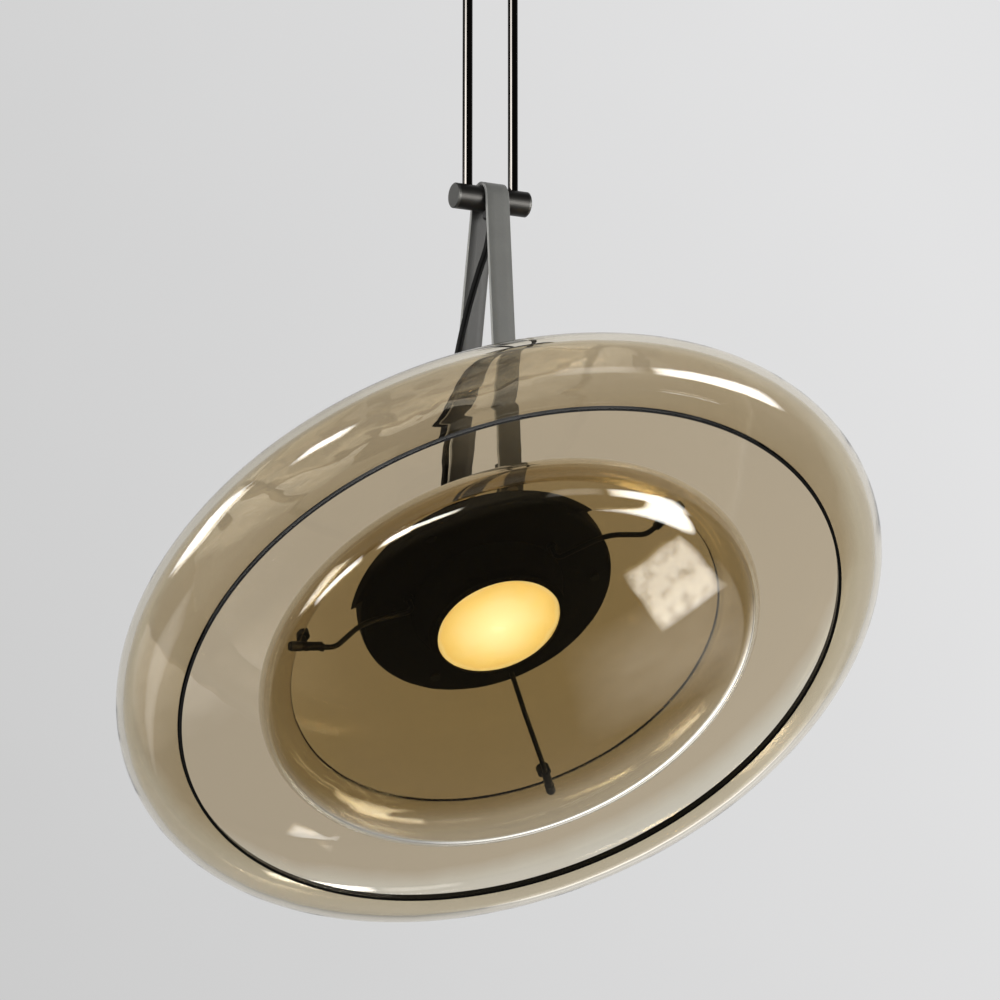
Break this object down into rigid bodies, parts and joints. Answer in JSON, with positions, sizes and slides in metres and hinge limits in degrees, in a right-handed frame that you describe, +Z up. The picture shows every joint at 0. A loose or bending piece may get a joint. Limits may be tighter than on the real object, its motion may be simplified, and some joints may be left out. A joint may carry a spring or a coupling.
{
  "type": "pendant lamp",
  "caption": "Ceiling pendant lamp: a leather strap slung over a crossbar on rods carries a tilting smoked glass dish with a rolled rim, a black lamp housing and a clipped-on inner glass bowl.",
  "frame": {"origin": "middle of the ceiling face of the canopy", "axes": "+Z up towards the ceiling, X along the crossbar, -Y the side that the tilted light faces"},
  "size_m": [0.45, 0.3604, 0.7531],
  "materials": {
    "bronze_metal": "satin dark bronze",
    "black_metal": "matte black powder coat",
    "strap_leather": "grey saddle leather, cut edges",
    "fastener_steel": "plain steel",
    "shade_glass": "blown smoked amber glass",
    "bowl_glass": "blown smoked amber glass, darker",
    "gasket_rubber": "soft black",
    "cord_jacket": "black cable jacket",
    "sink_aluminium": "machined",
    "board_white": "white solder mask",
    "chip_yellow": "phosphor",
    "diffuser_opal": "warm opal",
    "supply_plastic": "white housing"
  },
  "bodies": {
    "frame": {"ceiling_plate": "fastener_steel", "canopy_cup": "bronze_metal", "canopy_screws": "bronze_metal", "led_driver": "supply_plastic", "terminal_block": "supply_plastic", "suspension_rod_left": "bronze_metal", "suspension_rod_right": "bronze_metal", "rod_lock_nuts": "fastener_steel", "rod_collars": "bronze_metal", "crossbar": "bronze_metal", "crossbar_grub_screws": "fastener_steel", "crossbar_end_caps": "bronze_metal", "cord_grommet": "gasket_rubber"},
    "sling": {"hanging_strap": "strap_leather", "strap_yoke": "bronze_metal", "strap_rivets": "fastener_steel", "supply_cord": "cord_jacket"},
    "head": {"tilt_hub": "bronze_metal", "cord_gland": "gasket_rubber", "tilt_pin": "fastener_steel", "tilt_nut": "fastener_steel", "friction_washers": "gasket_rubber", "outer_shade": "shade_glass", "inner_bowl": "bowl_glass", "upper_gasket": "gasket_rubber", "lower_gasket": "gasket_rubber", "centre_nipple": "fastener_steel", "nipple_nut": "fastener_steel", "lamp_housing": "black_metal", "housing_cover": "black_metal", "cover_screws": "fastener_steel", "heat_sink": "sink_aluminium", "led_board": "board_white", "led_chips": "chip_yellow", "diffuser": "diffuser_opal", "diffuser_bezel": "black_metal", "bowl_arm_1": "black_metal", "bowl_arm_2": "black_metal", "bowl_arm_3": "black_metal", "arm_ferrules": "black_metal", "clip_sleeve_1": "black_metal", "clip_sleeve_2": "black_metal", "clip_sleeve_3": "black_metal", "lip_pads": "gasket_rubber"},
    "thumb_screw_1": {"clip_screw_1": "black_metal"},
    "thumb_screw_2": {"clip_screw_2": "black_metal"},
    "thumb_screw_3": {"clip_screw_3": "black_metal"}
  },
  "joints": [
    {"name": "strap_swing", "type": "hinge", "parent": "frame", "child": "sling", "pos_m": [0, 0, -0.34], "axis": [1, 0, 0], "range_deg": [-10, 10], "deforming": ["supply_cord"]},
    {"name": "head_tilt", "type": "hinge", "parent": "sling", "child": "head", "pos_m": [0, 0.01297, -0.53379], "axis": [1, 0, 0], "range_deg": [-6.4, 38.6], "deforming": ["supply_cord"]},
    {"name": "thumb_screw_1_turn", "type": "hinge", "parent": "head", "child": "thumb_screw_1", "pos_m": [0.06778, 0.06168, -0.66576], "axis": [0, 0.6239, 0.7815], "range_deg": [0, 360]},
    {"name": "thumb_screw_2_turn", "type": "hinge", "parent": "head", "child": "thumb_screw_2", "pos_m": [-0.12257, -0.01249, -0.60655], "axis": [0, 0.6239, 0.7815], "range_deg": [0, 360]},
    {"name": "thumb_screw_3_turn", "type": "hinge", "parent": "head", "child": "thumb_screw_3", "pos_m": [0.05479, -0.10423, -0.53331], "axis": [0, 0.6239, 0.7815], "range_deg": [0, 360]}
  ]
}
